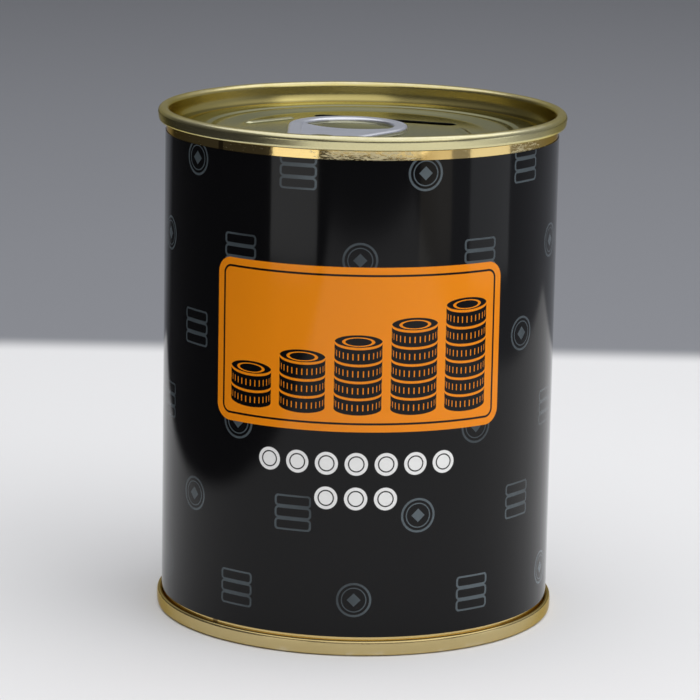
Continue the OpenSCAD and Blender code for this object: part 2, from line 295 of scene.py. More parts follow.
def lacquered(name, colour, deep, roughness, grain_h=0.004 * MM):
    """Lacquered tinplate: cloudy colour, rolling grain, fine specks and a clear coat. Returns its parts."""
    cloud_scale, speck_scale = 45.0, 2600.0
    material, shader, coords = new_finish(name)
    clouds = noise_at(coords, cloud_scale, detail=4.0, roughness=0.55)
    specks = noise_at(coords, speck_scale, detail=2.0)
    tone = colour_mix(clouds, deep, colour)
    fill(shader, {"Base Color": tone, "Metallic": 1.0, "Specular Tint": (*colour, 1),
                  "Roughness": ramp(specks, 0.3, 0.7, *roughness),
                  "Normal": relief(specks, grain_h, 0.6),
                  "Coat Weight": 0.12, "Coat Roughness": 0.08})
    return material, shader, coords, tone


def disc(u, v, radius):
    """Signed distance to a circle."""
    return minus(calc("SQRT", calc("ADD", times(u, u), times(v, v))), radius)


def body_gold():
    """Bright gold lacquer with the dark stripe of the weld, and scuffs on the bare band at the front."""
    material, shader, coords, tone = lacquered("body_gold", body_light, body_deep, (0.06, 0.11))
    split = axes(coords)
    angle = calc("FLOORED_MODULO", calc("ARCTAN2", split["Y"], split["X"]), 2 * math.pi)
    weld = calc("COMPARE", angle, weld_angle, weld_w / body_r / 2)
    flakes = noise_at(moved(coords, Scale=flake_stretch), flake_scale, detail=5.0, roughness=0.7)
    threshold = scuff_level
    for direction, half, strength in scuff_patches:
        away = size_of(minus(angle, direction))
        threshold = minus(threshold, ramp(away, 0.6 * half, half, strength, 0.0))
    scuffed = calc("GREATER_THAN", flakes, threshold)
    upper = calc("GREATER_THAN", split["Z"], can_top / 2)
    outer = calc("GREATER_THAN", disc(split["X"], split["Y"], body_r - body_t / 2), 0.0)
    scuffed = times(scuffed, times(upper, outer))
    marked = colour_mix(times(scuffed, scuff_share), tone, scuff_gold)
    shine = shader.inputs["Roughness"].links[0].from_socket
    dulled = put("ShaderNodeMix", {0: scuffed, 2: shine, 3: scuff_rough}).outputs[0]
    marked = colour_mix(times(weld, weld_share), marked, weld_brown)
    fill(shader, {"Roughness": dulled, "Base Color": marked})
    return material


def weld_lap(material):
    """Inner lap of the weld: a low curved strip down the inside of the wall."""
    steps = 4
    turns = [weld_angle + (i / steps - 0.5) * weld_w / body_r for i in range(steps + 1)]
    inner, outer = body_r - body_t - weld_h, body_r - body_t / 2
    loop = [(r * math.cos(a), r * math.sin(a))
            for r, row in ((inner, turns), (outer, turns[::-1])) for a in row]
    points = [(x, y, z) for z in (weld_low, weld_high) for x, y in loop]
    count = len(loop)
    sides = [(i, (i + 1) % count, count + (i + 1) % count, count + i) for i in range(count)]
    ends = [tuple(range(count))[::-1], tuple(range(count, 2 * count))]
    return settled(new_piece("weld_lap", points, faces=sides + ends, material=material))


body_path = from_top(flange_path(top_play, top_seam_h)) + flange_path(bottom_play, bottom_seam_h)[::-1]
wall_start, wall_end = body_path[FOLD_STEPS + 1], body_path[FOLD_STEPS + 2]
wall = [(wall_start[0], wall_start[1] + (wall_end[1] - wall_start[1]) * i / WALL_POINTS)
        for i in range(1, WALL_POINTS)]
body_path[FOLD_STEPS + 2:FOLD_STEPS + 2] = wall
gold = body_gold()
can_body = turned("can_body", sheet_outline(body_path, body_t), gold, dent=body_dent)
joined(can_body, weld_lap(gold))
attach(can_body, "can")
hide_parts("can_body")

# Label: glossy coated paper, printed black, wrapped once round the body and glued where its ends lap.
# The print is plain: a plaque with growing stacks of coins, two rows of coins, and faint coins all over.
label_t = 0.12 * MM
glue_t = 0.04 * MM
label_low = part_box("label_wrap")[0].z
label_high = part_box("label_wrap")[1].z
label_in = body_r + glue_t
label_r = label_in + label_t
label_columns, label_rows = 360, 24
lap_angle = math.radians(62)
lap_w = 8 * MM
lap_turn = lap_w / body_r
lap_rise = math.radians(5)
lap_gap = 0.005 * MM
ink_black = (0.0030, 0.0030, 0.0034)
ink_thin = tuple(1.5 * c for c in ink_black)
ink_orange = (0.92, 0.275, 0.007)
ink_white = (0.90, 0.90, 0.89)
ink_faint = (0.105, 0.130, 0.145)
ink_edge = 0.10 * MM
line_w = 0.40 * MM
motif_count = 10
motif_u = 2 * math.pi * label_r / motif_count
motif_v = 15.6 * MM
motif_low = label_low + 7 * MM
coin_r = 3.0 * MM
coin_ring_r = 0.74 * coin_r
coin_ring_w = 0.5 * line_w
coin_mark = 0.42 * coin_r
low_stack_step = 2.2 * MM
low_stack_half = (3.3 * MM, 0.95 * MM)
low_stack_corner = 0.6 * MM
low_stack_reach = 1
plaque_z = 56.5 * MM
plaque_half = (28.0 * MM, 15.0 * MM)
plaque_corner = 3.0 * MM
frame_inset = 1.5 * MM
stack_pitch = 10.2 * MM
stack_count = 5
stack_least = 2
stack_foot = 45.6 * MM
stack_step = 3.1 * MM
stack_gap = 0.45 * MM
stack_half = 4.3 * MM
stack_tip = 1.25 * MM
face_ring_r = 0.62 * stack_half
face_ring_w = 1.3 * stack_gap
reed_turn = math.radians(13)
reed_half = 0.22 * stack_gap
reed_start = 0.32 * stack_step
row_pitch = 5.4 * MM
row_coin_r = 2.1 * MM
row_ring_r = 0.66 * row_coin_r
row_ring_w = 0.6 * line_w
coin_rows = ((35.6 * MM, 3), (29.2 * MM, 1))
clear_z = 36.5 * MM
clear_half = (19.0 * MM, 5.5 * MM)
clear_w = 1.2 * MM


def wrapped_label(material):
    """Spiral of thin sheet: the free end climbs over the first end and lies on it."""
    points, faces = [], []
    levels = [label_low + (label_high - label_low) * j / label_rows for j in range(label_rows + 1)]
    for i in range(label_columns + 1):
        turn = (2 * math.pi + lap_turn) * i / label_columns
        climb = min(max((turn - 2 * math.pi + lap_rise) / (0.9 * lap_rise), 0.0), 1.0)
        lift = (label_t + lap_gap) * climb * climb * (3 - 2 * climb)
        heading = Vector((math.cos(lap_angle + turn), math.sin(lap_angle + turn)))
        for radius, heights in ((label_in + lift, levels), (label_r + lift, levels[::-1])):
            points += [(*(heading * radius), z) for z in heights]
    ring = 2 * (label_rows + 1)
    for start in range(0, label_columns * ring, ring):
        faces += [(start + j, start + (j + 1) % ring, start + ring + (j + 1) % ring, start + ring + j)
                  for j in range(ring)]
    for start in (0, label_columns * ring):
        faces += [(start + j, start + j + 1, start + ring - 2 - j, start + ring - 1 - j)
                  for j in range(label_rows)]
    return settled(new_piece("label_wrap", points, faces=faces, material=material))


def ink(distance):
    """Coverage of a shape from its signed distance, with a soft printed edge."""
    return ramp(distance, -ink_edge / 2, ink_edge / 2, 1.0, 0.0)


def most(first, second):
    return calc("MAXIMUM", first, second)


def block(u, v, half, corner=0.0):
    """Signed distance to a rectangle with round corners."""
    du = minus(size_of(u), half[0] - corner)
    dv = minus(size_of(v), half[1] - corner)
    outside = disc(most(du, 0.0), most(dv, 0.0), corner)
    return calc("ADD", outside, calc("MINIMUM", most(du, dv), 0.0))


def diamond(u, v, half):
    return minus(calc("ADD", size_of(u), size_of(v)), half)


def outline_of(distance, width):
    return minus(size_of(distance), width / 2)


def cut_from(shape, hole):
    return most(shape, times(hole, -1.0))


def nearest(first, *others):
    for other in others:
        first = calc("MINIMUM", first, other)
    return first


def cell(value, pitch, shift=0.0):
    """Offset from the nearest point of a row with the given pitch, and that point's number."""
    value = minus(value, shift)
    number = calc("ROUND", calc("DIVIDE", value, pitch))
    return minus(value, times(number, pitch)), number


def kept_near(shape, number, reach):
    """Shape in a row, pushed out of print where its number is past the reach to either side."""
    return calc("ADD", shape, calc("GREATER_THAN", size_of(number), reach + 0.5))


def faint_coins(u, v):
    """Rows of coins that alternate with small stacks, each row shifted by half a pitch."""
    offset_v, row = cell(v, motif_v, motif_low)
    shift = times(calc("FLOORED_MODULO", row, 2.0), motif_u / 2)
    offset_u, number = cell(minus(u, shift), motif_u)
    coin = nearest(outline_of(disc(offset_u, offset_v, coin_r), line_w),
                   outline_of(disc(offset_u, offset_v, coin_ring_r), coin_ring_w),
                   diamond(offset_u, offset_v, coin_mark))
    level_v, level = cell(offset_v, low_stack_step)
    stack = outline_of(block(offset_u, level_v, low_stack_half, low_stack_corner), line_w)
    stack = kept_near(stack, level, low_stack_reach)
    pair = calc("FLOOR", calc("DIVIDE", row, 2.0))
    pick = calc("FLOORED_MODULO", calc("ADD", number, pair), 2.0)
    return put("ShaderNodeMix", {0: pick, 2: coin, 3: stack}).outputs[0]


def coin_stacks(u, v):
    """Stacks of coins of growing height, seen from a little above, with lines left open between the coins."""
    offset_u, number = cell(u, stack_pitch)
    last = (stack_count - 1) / 2
    coins = calc("ADD", number, last + stack_least)
    across = calc("DIVIDE", offset_u, stack_half)
    depth = minus(1.0, times(across, across))
    bow = times(calc("SQRT", most(depth, 0.0)), stack_tip)
    rise = minus(v, stack_foot)
    front = calc("ADD", rise, bow)
    top = times(coins, stack_step)
    below = times(front, -1.0)
    above = minus(minus(rise, bow), top)
    beside = minus(size_of(offset_u), stack_half)
    whole = most(most(below, above), beside)
    level, _ = cell(front, stack_step)
    covered = minus(front, calc("ADD", top, stack_gap))
    line = most(outline_of(level, stack_gap), covered)
    face_v = times(minus(rise, top), stack_half / stack_tip)
    face = outline_of(disc(offset_u, face_v, face_ring_r), face_ring_w)
    held = calc("MINIMUM", most(across, -1.0), 1.0)
    turn, _ = cell(calc("ARCSINE", held), reed_turn)
    reed = minus(times(size_of(turn), stack_half), reed_half)
    reed = most(most(reed, minus(reed_start, size_of(level))), minus(front, top))
    open_lines = nearest(line, face, reed)
    return kept_near(cut_from(whole, open_lines), number, last)


def white_coins(u, v):
    """Two centred rows of small white coins, each with a thin ring left open."""
    shapes = []
    for height, reach in coin_rows:
        offset_u, number = cell(u, row_pitch)
        offset_v = minus(v, height)
        ring = outline_of(disc(offset_u, offset_v, row_ring_r), row_ring_w)
        coin = cut_from(disc(offset_u, offset_v, row_coin_r), ring)
        shapes.append(kept_near(coin, number, reach))
    return nearest(*shapes)


def label_print():
    """Glossy black print on coated paper, faintly uneven, with its inks laid one on the other."""
    material, shader, coords = new_finish("label_print")
    split = axes(coords)
    turn = calc("ARCTAN2", split["X"], times(split["Y"], -1.0))
    u = times(turn, label_r)
    v = split["Z"]
    plaque = block(u, minus(v, plaque_z), plaque_half, plaque_corner)
    rows = white_coins(u, v)
    clear = block(u, minus(v, clear_z), clear_half)
    clear = calc("MINIMUM", clear, minus(rows, clear_w))
    faint = cut_from(faint_coins(u, v), clear)
    mottle = noise_at(coords, scale=38.0, detail=4.0)
    screen = noise_at(coords, scale=5200.0, detail=1.0)
    shade = times(ink(faint), ramp(mottle, 0.35, 0.65, 0.3, 1.0))
    tone = colour_mix(shade, colour_mix(screen, ink_black, ink_thin), ink_faint)
    tone = colour_mix(ink(plaque), tone, ink_orange)
    frame_line = outline_of(calc("ADD", plaque, frame_inset), line_w)
    stacks = nearest(coin_stacks(u, v), frame_line)
    tone = colour_mix(times(ink(stacks), ink(plaque)), tone, ink_black)
    tone = colour_mix(ink(rows), tone, ink_white)
    waves = noise_at(moved(coords, Scale=(1.0, 1.0, 0.25)), scale=70.0, detail=2.0)
    fibre = relief(screen, 0.002 * MM, 0.3)
    fill(shader, {"Base Color": tone, "Roughness": ramp(mottle, 0.0, 1.0, 0.05, 0.12),
                  "Normal": relief(waves, 0.10 * MM, 0.5, Normal=fibre),
                  "Specular IOR Level": 0.21})
    return material


label_wrap = wrapped_label(label_print())
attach(label_wrap, "can")
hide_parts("label_wrap")

# Bottom end: a gold lacquered disc, stamped with a countersink and expansion rings.
# Its edge is rolled over the lower flange of the body, and the can stands on that seam.
bottom_sink = 4.0 * MM
bottom_panel_z = 2.4 * MM
bottom_dent = 0.10 * MM
ring_count = 3
ring_w = 4.2 * MM
ring_d = 0.7 * MM
ring_steps = 14
middle_steps = 6
sink_r = 0.7 * MM
wall_lean = 0.55 * MM
corner_r = 0.5 * MM
foot_w = 0.4 * MM
seam_bow = 0.05 * MM
WALL_STEPS = 8
seat_clear = 0.04 * MM
chuck_r = body_r - body_t - seat_clear - end_t / 2
sink_out = chuck_r - wall_lean
sink_in = sink_out - 2 * sink_r
end_grain = 0.001 * MM
bottom_light, bottom_deep = (0.65, 0.525, 0.265), (0.55, 0.43, 0.19)
foot_shine = (0.80, 0.74, 0.58)
foot_rub = 1.2 * MM
rub_share = 0.6


def curl_path(play, seam_h, flat, taper=0.0, bow=0.0):
    """Chuck wall, crest, tapered or bowed seaming wall, fold and cover hook of an end, up from the base."""
    hook_r = body_r + play + end_t / 2
    seam_r = body_r + 3 * play + 1.5 * end_t + body_t
    crest = (seam_r - chuck_r - flat) / 2
    fold = (seam_r - hook_r) / 2
    crest_z = end_t / 2 + crest
    fold_z = seam_h - end_t / 2 - fold
    wall = [(seam_r - taper * share + 4 * bow * share * (1 - share), crest_z + (fold_z - crest_z) * share)
            for share in (i / WALL_STEPS for i in range(1, WALL_STEPS))]
    hook_end = end_t + 2 * hook_room + body_t
    return (arc((chuck_r + crest, crest_z), crest, 180, 270) + arc((seam_r - crest, crest_z), crest, 270, 360)
            + wall + arc((seam_r - taper - fold, fold_z), fold, 0, 180) + [(hook_r - taper, hook_end)])


def bottom_path():
    rings_out = sink_in - corner_r - ring_w / 2
    rings_in = rings_out - ring_count * ring_w
    waves = [(rings_in + ring_w * i / ring_steps,
              bottom_panel_z - ring_d * (1 - math.cos(2 * math.pi * i / ring_steps)) / 2)
             for i in range(ring_count * ring_steps + 1)]
    middle = [(rings_in * i / middle_steps, bottom_panel_z) for i in range(middle_steps)]
    return (middle + waves + arc((sink_in - corner_r, bottom_panel_z + corner_r), corner_r, 270, 360)
            + arc((sink_out - sink_r, bottom_sink - sink_r - end_t / 2), sink_r, 180, 0)
            + curl_path(bottom_play, bottom_seam_h, foot_w, bow=seam_bow))


def worn(parts, low, high, shine, patches=(0.5, 0.66)):
    """Rubs a lacquered finish through to a paler shine in patches between two heights."""
    material, shader, coords, tone = parts
    band = ramp(axes(coords)["Z"], low, high)
    rubbed = noise_at(coords, scale=420.0, detail=5.0, roughness=0.65)
    factor = times(ramp(rubbed, *patches, 0.0, rub_share), band)
    fill(shader, {"Base Color": colour_mix(factor, tone, shine)})
    return material


bottom_gold = worn(lacquered("bottom_gold", bottom_light, bottom_deep, (0.19, 0.23), end_grain),
                   foot_rub, 0.0, foot_shine)
bottom_end = turned("bottom_end", sheet_outline(bottom_path(), end_t), bottom_gold, dent=bottom_dent)
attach(bottom_end, "can")
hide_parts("bottom_end")

# Bottom seal: a ring of rubber-like sealing compound, poured into the end before it is rolled on.
# It lies pressed between the flange of the body and the crest of the end, out of sight.
compound_dark, compound_light = (0.20, 0.195, 0.18), (0.29, 0.285, 0.265)
pore_d = 0.03 * MM


def sealing_compound():
    """Matt grey compound with fine pores."""
    material, shader, coords = new_finish("sealing_compound")
    pores = noise_at(coords, scale=2200.0, detail=4.0)
    fill(shader, {"Base Color": colour_mix(pores, compound_dark, compound_light),
                  "Roughness": 0.75, "Normal": relief(pores, pore_d, 1.0)})
    return material


def dress(name, material):
    """Gives the finish to a piece whose solid is kept as it is."""
    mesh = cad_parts[name].data
    mesh.materials.clear()
    mesh.materials.append(material)


compound = sealing_compound()
dress("bottom_seal", compound)

# Lid rim: the part of the lid that stays on the can, stamped from gold lacquered tinplate.
# It runs from the lip outside the score through the countersink and up the wall into the top seam.
lid_sink = 5.2 * MM
lid_dent = 0.22 * MM
crest_w = 0.2 * MM
panel_depth = 3.5 * MM
shoulder_lean = 0.12 * MM
shoulder_h = 0.9 * MM
shoulder_slant = math.radians(22)
shoulder_round = 0.6 * MM
shoulder_steps = 6
seam_taper = 0.13 * MM
lip_w = 0.8 * MM
score_w = 0.3 * MM
score_shown = 0.1 * MM
panel_top = can_top - panel_depth
sink_z = can_top - lid_sink + end_t / 2 + sink_r
shoulder = Vector((chuck_r - shoulder_lean, panel_top + shoulder_h))
slant_h = shoulder.y - sink_z + sink_r * math.sin(shoulder_slant)
sink_c = shoulder.x - slant_h * math.tan(shoulder_slant) - sink_r * math.cos(shoulder_slant)
lip_edge_r = sink_c - sink_r - corner_r - lip_w
panel_r = lip_edge_r - score_w
score_mid = (lip_edge_r + panel_r) / 2
rim_light, rim_deep = (0.68, 0.58, 0.23), (0.60, 0.50, 0.17)
rim_pale = (0.69, 0.635, 0.36)
rim_pale_r = body_r + 0.5 * MM
# Painted shade in the countersink: its colour, how much of it, and how softly it fades in at the panel top.
sink_painted_shade = (0.16, 0.13, 0.04)
sink_shade_share = 0.7
sink_shade_fade = 0.15 * MM
crest_shine = (0.95, 0.94, 0.84)
crest_rub = 0.7 * MM


def rounded(before, corner, after, reach):
    """Points that round off a corner of a path."""
    start = corner + (Vector(before) - corner).normalized() * reach
    end = corner + (Vector(after) - corner).normalized() * reach
    return [tuple(start.lerp(corner, share).lerp(corner.lerp(end, share), share))
            for share in (i / shoulder_steps for i in range(shoulder_steps + 1))]


def lid_path():
    z = panel_top - end_t / 2
    lip = arc((sink_c - sink_r - corner_r, z - corner_r), corner_r, 90, 0)
    sink = arc((sink_c, sink_z), sink_r, 180, 360 - math.degrees(shoulder_slant))
    curl = from_top(curl_path(top_play, top_seam_h, crest_w, seam_taper))
    return ([(score_mid + score_shown / 2, z)] + lip + sink
            + rounded(sink[-1], shoulder, curl[0], shoulder_round) + curl)


def rim_gold():
    """Deep gold inside the wall with painted shade in the countersink, rubbed paler over the crest and the
    seam.
    """
    material, shader, coords, tone = lacquered("lid_gold", rim_light, rim_deep, (0.21, 0.25), end_grain)
    split = axes(coords)
    # Painted shade: below the top of the panel, the countersink and the lip are darkened towards brown.
    sink_shaded = ramp(split["Z"], panel_top + sink_shade_fade, panel_top - sink_shade_fade, 0.0, sink_shade_share)
    outside = ramp(disc(split["X"], split["Y"], 0.0), chuck_r, rim_pale_r)
    tone = colour_mix(outside, colour_mix(sink_shaded, tone, sink_painted_shade), rim_pale)
    return worn((material, shader, coords, tone), can_top - crest_rub, can_top, crest_shine, (0.1, 0.9))


lid_gold = rim_gold()
lid_rim = turned("lid_rim", sheet_outline(lid_path(), end_t), lid_gold, segments=320, dent=lid_dent)
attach(lid_rim, "can")
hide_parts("lid_rim")

# Lid seal: a second ring of the same sealing compound, poured into the lid before it is rolled on.
# It lies pressed between the upper flange of the body and the crest of the lid, out of sight.
dress("lid_seal", compound)

# Tear panel: the part of the lid that comes away, stamped from the same sheet inside the score.
# It has a groove, a stepped middle, two beads, a finger well and a punched coin slot.
# The hollow rivet that holds the tab is drawn from the sheet and staked.
lid_turn = math.radians(90 - 19)
edge_ring_w = 2.8 * MM
groove_w = 2.4 * MM
groove_d = 0.25 * MM
step_w = 4.6 * MM
step_h = 0.5 * MM
groove_out = panel_r - edge_ring_w
groove_in = groove_out - groove_w
step_in = groove_in - step_w
middle_top = panel_top - step_h
slot_half = 14.0 * MM
slot_r = 1.7 * MM
slot_x = 13.0 * MM
slot_round = 0.06 * MM
slot_drop = 0.38 * MM
slot_spacing = 0.5 * MM
slot_offsets = (0.02, 0.04, 0.06, 0.2, 0.5, 0.9)
slot_shade = 0.05 * MM
bead_half = 5.0 * MM
bead_r = 1.2 * MM
bead_h = 0.35 * MM
bead_x, bead_y = 2.6 * MM, 19.4 * MM
bead_slant = math.radians(29)
bead_spacing = 0.45 * MM
bead_offsets = (0.2, 0.4, 0.6, 0.72, 0.84, 0.96, 1.2, 1.6)
soft_w = 0.12 * MM
loose_spacing = 0.85 * MM
loose_margin = 0.4 * MM
step_rings, groove_rings, edge_rings = 10, 18, 4
ring_points, boss_points, well_points = 288, 56, 110
weld_slack = 0.001 * MM
rim_slack = 0.01 * MM
well_r = 8.0 * MM
well_d = 0.7 * MM
well_offsets = (-1.2, -0.8, -0.4, 0.0, 0.4, 0.8, 1.2)
tab_l = 33.8 * MM
tab_rim_w = 2.6 * MM
tab_t = 1.2 * MM
tab_gap = 0.3 * MM
tab_plate_t = 0.3 * MM
tab_z = panel_top + tab_gap
plate_drop = 0.25 * MM
plate_z = tab_z + tab_t - plate_drop - tab_plate_t
tongue_drop = 0.45 * MM
tongue_z = plate_z - tongue_drop
nose_back = 1.2 * MM
nose_x = nose_back - panel_r
well_x = nose_x + tab_l - tab_rim_w / 2
rivet_back = 7.6 * MM
rivet_x = nose_x + rivet_back
rivet_r = 1.6 * MM
rivet_head_r = 2.7 * MM
rivet_head_t = 0.4 * MM
rivet_sink = 0.1 * MM
rivet_dimple = ((0.0, 0.14 * MM), (0.9 * MM, 0.13 * MM), (1.35 * MM, 0.04 * MM), (1.7 * MM, 0.0))
boss_flare = 0.7 * MM
boss_offsets = (-0.3, 0.0, 0.15, 0.3, 0.45, 0.6, 0.7, 1.0)
boss_top = tongue_z - seat_clear
head_z = tongue_z + tab_plate_t + seat_clear
panel_light, panel_deep = (0.65, 0.635, 0.43), (0.56, 0.54, 0.36)
scratch_pale = (0.84, 0.82, 0.70)
scratch_share = 0.45
scratch_bend = 1.2 * MM
# Painted shade inside the coin slot.
slot_painted_shade = (0.03, 0.028, 0.02)


def ease(value, start, end):
    share = min(max((value - start) / (end - start), 0.0), 1.0)
    return (1 - math.cos(math.pi * share)) / 2


def soft_most(a, b):
    """The greater of two heights, rounded over where they meet."""
    share = max(soft_w - abs(a - b), 0.0) / soft_w
    return max(a, b) + share * share * soft_w / 4


def capsule(x, y, centre, angle, half):
    """Distance from a straight stretch of the given half length."""
    dx, dy = x - centre[0], y - centre[1]
    along = dx * math.cos(angle) + dy * math.sin(angle)
    across = dy * math.cos(angle) - dx * math.sin(angle)
    return math.hypot(max(abs(along) - half, 0.0), across)


slot_line = ((slot_x, 0.0), math.pi / 2, slot_half - slot_r)
bead_lines = [((bead_x, side * bead_y), -side * bead_slant, bead_half) for side in (-1, 1)]


def panel_height(x, y):
    """Top of the sheet in the frame of the lid, whose x runs along the tab and away from its nose."""
    r = math.hypot(x, y)
    half = groove_w / 2
    z = middle_top + step_h * ease(r, step_in, groove_in)
    z -= groove_d * (ease(r, groove_in, groove_in + half) - ease(r, groove_out - half, groove_out))
    ball = (well_r ** 2 + well_d ** 2) / (2 * well_d)
    reach = min(math.hypot(x - well_x, y), 1.5 * well_r)
    dish = middle_top - well_d + ball - math.sqrt(ball ** 2 - reach ** 2)
    if r < step_in:
        z = -soft_most(-z, -dish)
    for line in bead_lines:
        across = capsule(x, y, *line)
        if across < bead_r:
            z = soft_most(z, middle_top + bead_h - bead_r + math.sqrt(bead_r ** 2 - across ** 2))
    z += (boss_top - z) * (1 - ease(math.hypot(x - rivet_x, y), rivet_head_r, rivet_head_r + boss_flare))
    inside = slot_round - (capsule(x, y, *slot_line) - slot_r)
    if inside > 0:
        z -= slot_round - math.sqrt(max(slot_round ** 2 - inside ** 2, 0.0))
    return z


def capsule_loop(line, offset, spacing):
    """Points round a straight stretch at the given distance."""
    centre, angle, half = line
    count = max(int(math.pi * offset / spacing), 6)
    straight = max(int(2 * half / spacing), 1)
    loop = []
    for end in (1, -1):
        loop += [(end * half + offset * math.sin(a) * end, -end * offset * math.cos(a))
                 for a in (math.pi * i / count for i in range(count + 1))]
        loop += [(end * half * (1 - 2 * i / straight), end * offset) for i in range(1, straight)]
    turn = Matrix.Rotation(angle, 2)
    return [Vector(centre) + turn @ Vector(point) for point in loop]


def circle_points(centre, radius, count):
    return [Vector((centre[0] + radius * math.cos(a), centre[1] + radius * math.sin(a)))
            for a in (2 * math.pi * i / count for i in range(count))]


def spread(reach, spacing):
    """Even triangular pattern of points inside a circle."""
    rows = int(reach / (spacing * math.sqrt(3) / 2))
    columns = int(reach / spacing) + 1
    points = [Vector(((j + 0.5 * (i % 2)) * spacing, i * spacing * math.sqrt(3) / 2))
              for i in range(-rows, rows + 1) for j in range(-columns, columns + 1)]
    return [point for point in points if point.length < reach]


def turned_with_lid(piece):
    """Turns a piece from the frame of the lid to where the lid stands on the can."""
    piece.data.transform(Matrix.Rotation(lid_turn, 4, "Z"))
    return piece


def stamped(name, points, loops, keep, height, thickness, material, drop=0.0):
    """Sheet of the given thickness, pressed to a height over its plane and cut along closed loops.
    With a drop, the rim of the coin slot is drawn down by it."""
    flat, edges = [], []
    for loop in loops:
        start, count = len(flat), len(loop)
        edges += [(start + i, start + (i + 1) % count) for i in range(count)]
        flat += loop
    cut = delaunay_2d_cdt(flat + points, edges, [], 0, weld_slack)
    verts, faces = cut[0], cut[2]
    kept = [face for face in faces if keep(*(sum((verts[i] for i in face), Vector((0, 0))) / 3))]
    raised = [(v.x, v.y, height(v.x, v.y)) for v in verts]
    piece = new_piece(name, raised, faces=kept, material=material)
    sheet = bmesh.new()
    sheet.from_mesh(piece.data)
    bmesh.ops.delete(sheet, geom=[v for v in sheet.verts if not v.link_faces], context="VERTS")
    if drop:
        rim = [e for e in sheet.edges if e.is_boundary
               and all(abs(capsule(v.co.x, v.co.y, *slot_line) - slot_r) < rim_slack for v in e.verts)]
        drawn = {}
        for vert in (v for edge in rim for v in edge.verts):
            if vert not in drawn:
                drawn[vert] = sheet.verts.new((vert.co.x, vert.co.y, middle_top - drop))
        for edge in rim:
            end = edge.link_loops[0].vert
            start = edge.other_vert(end)
            sheet.faces.new((start, end, drawn[end], drawn[start]))
    bmesh.ops.recalc_face_normals(sheet, faces=sheet.faces)
    if sum(face.normal.z * face.calc_area() for face in sheet.faces) < 0:
        bmesh.ops.reverse_faces(sheet, faces=sheet.faces)
    sheet.to_mesh(piece.data)
    sheet.free()
    wall = piece.modifiers.new("sheet", "SOLIDIFY")
    wall.thickness = thickness
    wall.offset = -1.0
    return turned_with_lid(settled(piece))


def panel_points():
    """Points that follow the stamped forms closely and the flat sheet loosely. Offsets are in millimetres."""
    radii = [step_in + (groove_in - step_in) * i / step_rings for i in range(step_rings)]
    radii += [groove_in + groove_w * i / groove_rings for i in range(groove_rings + 1)]
    edge_w = score_mid - score_shown / 2 - groove_out
    radii += [groove_out + edge_w * i / edge_rings for i in range(1, edge_rings + 1)]
    points = [p for radius in radii for p in circle_points((0, 0), radius, ring_points)]
    points += [p for offset in slot_offsets
               for p in capsule_loop(slot_line, slot_r + offset * MM, slot_spacing)]
    points += [p for line in bead_lines for offset in bead_offsets
               for p in capsule_loop(line, offset * MM, bead_spacing)]
    points += [p for offset in boss_offsets
               for p in circle_points((rivet_x, 0), rivet_head_r + offset * MM, boss_points)]
    points += [p for offset in well_offsets
               for p in circle_points((well_x, 0), well_r + offset * MM, well_points)]
    slot_reach = slot_r + slot_offsets[-1] * MM
    return points + [p for p in spread(step_in - loose_margin, loose_spacing)
                     if capsule(p.x, p.y, *slot_line) > slot_reach]


def rivet_head(material):
    """Staked head of the rivet: a rounded button, dimpled by the punch, on its shank."""
    edge = rivet_head_t / 2
    top = head_z + rivet_head_t
    foot = boss_top - rivet_sink
    outline = ([(r, top - depth) for r, depth in rivet_dimple]
               + arc((rivet_head_r - edge, head_z + edge), edge, 90, -90)
               + [(rivet_r, head_z), (rivet_r, foot), (0.0, foot)])
    head = turned("rivet_head", outline, material, segments=64)
    head.data.transform(Matrix.Translation((rivet_x, 0, 0)))
    return turned_with_lid(head)


def panel_gold():
    """Paler, greyer gold than the rim, with fine scratches from handling and painted shade on the cut edge in
    the slot.
    """
    material, shader, coords, tone = lacquered("panel_gold", panel_light, panel_deep, (0.12, 0.16), end_grain)
    swirl = put("ShaderNodeTexNoise", {"Vector": coords, "Scale": 160.0, "Detail": 2.0})
    bent = vector_calc("ADD", coords, vector_calc("SCALE", swirl.outputs["Color"], scratch_bend))
    drawn = moved(bent, Rotation=(0, 0, lid_turn), Scale=(40.0, 2600.0, 40.0))
    thin = ramp(noise_at(drawn, scale=1.0, detail=3.0), 0.66, 0.74, 0.0, scratch_share)
    # Painted shade: the cut edge and drawn-down rim of the coin slot, and a hair round it, are coloured
    # near-black.
    place = axes(moved(coords, Rotation=(0, 0, -lid_turn)))
    hole = block(minus(place["X"], slot_x), place["Y"], (slot_r, slot_half), slot_r)
    cut = calc("LESS_THAN", hole, slot_shade)
    tone = colour_mix(cut, colour_mix(thin, tone, scratch_pale), slot_painted_shade)
    fill(shader, {"Base Color": tone})
    return material


pale_gold = panel_gold()
tear_panel = stamped("tear_panel", panel_points(), [capsule_loop(slot_line, slot_r, slot_spacing)],
                     lambda x, y: capsule(x, y, *slot_line) > slot_r,
                     panel_height, end_t, pale_gold, slot_drop)
joined(tear_panel, rivet_head(pale_gold))
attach(tear_panel, "panel")
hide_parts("tear_panel")

# Tab tongue: the island of the tab that the rivet grips, cut free of the tab all round.
# It is the same bright tinplate, and the tab bends up about its end towards the nose.
ring_r = 11.0 * MM
nose_r = 5.4 * MM
nose_c = nose_x + nose_r
ring_c = nose_x + tab_l - ring_r
taper = math.asin((ring_r - nose_r) / (ring_c - nose_c))
tongue_half = 3.2 * MM
tongue_cut = 0.35 * MM
tongue_line = (((nose_x + rivet_x) / 2, 0.0), 0.0, (rivet_x - nose_x) / 2)
tongue_middle = (rivet_x - 1 * MM, 0)
trace_rays = 120
trace_halvings = 30
rivet_hole = rivet_r + seat_clear
hole_points = 48
tin_dark, tin_light = (0.70, 0.72, 0.79), (0.80, 0.82, 0.88)
tin_grain = 0.001 * MM


